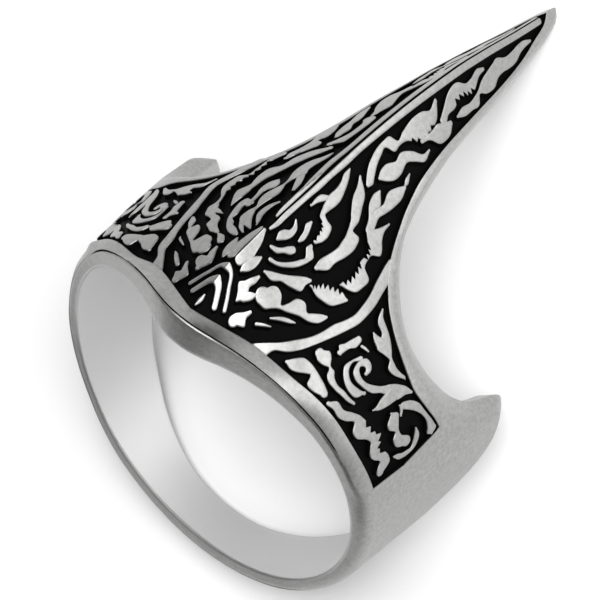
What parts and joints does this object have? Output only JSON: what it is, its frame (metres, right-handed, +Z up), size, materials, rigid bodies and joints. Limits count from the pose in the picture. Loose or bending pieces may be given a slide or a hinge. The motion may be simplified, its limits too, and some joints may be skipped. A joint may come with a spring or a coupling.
{
  "type": "archer's thumb ring",
  "caption": "Cast silver archer's thumb ring: plain round band, carved shoulders and a ridged head that runs out into a long pointed spike, leaf relief on a blackened ground.",
  "frame": {"origin": "centre of the ring's box on the floor it lies on, tipped back on the tip of its spike and the rear edge of its band", "axes": "+Z up, +Y from the tip of the spike towards the bottom of the band, X across the ring; the bore's axis lies in the YZ plane and rises towards +Y"},
  "size_m": [0.0232, 0.0352, 0.0199],
  "materials": {
    "silver": "satin"
  },
  "bodies": {
    "root": {"ring": "silver"}
  },
  "joints": []
}
